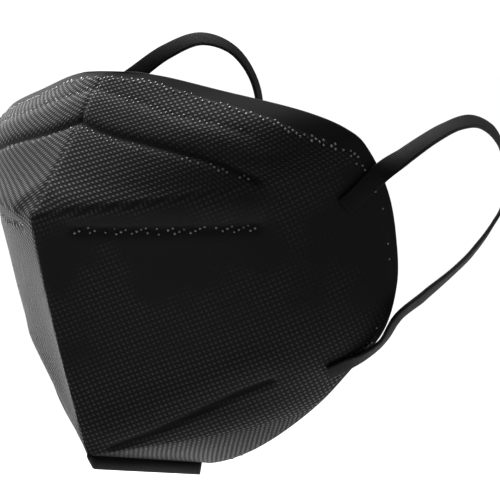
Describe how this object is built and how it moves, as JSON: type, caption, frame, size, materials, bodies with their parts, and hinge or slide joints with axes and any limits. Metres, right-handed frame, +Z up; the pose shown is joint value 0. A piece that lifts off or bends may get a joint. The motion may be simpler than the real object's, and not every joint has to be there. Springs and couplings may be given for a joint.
{
  "type": "fold-flat respirator mask",
  "caption": "Black fold-flat respirator mask, opened as worn: a hollow creased shell of embossed non-woven cloth with a welded chin seam and flat elastic ear loops.",
  "frame": {"origin": "middle of the face opening in the symmetry plane, halfway from the nose bridge to the rear end of the chin seam", "axes": "+X to the wearer's left, +Y back to the wearer's face, +Z up"},
  "size_m": [0.1668, 0.1636, 0.144],
  "materials": {
    "panel_cloth": "black spun-bonded non-woven with embossed dots, soft sheen at grazing angles",
    "fused_cloth": "the same cloth fused flat and smooth",
    "elastic_band": "matt black flat knitted elastic"
  },
  "bodies": {
    "root": {"facepiece": "panel_cloth", "chin_seam": "fused_cloth", "ear_loop_left": "elastic_band", "ear_loop_right": "elastic_band"}
  },
  "joints": []
}
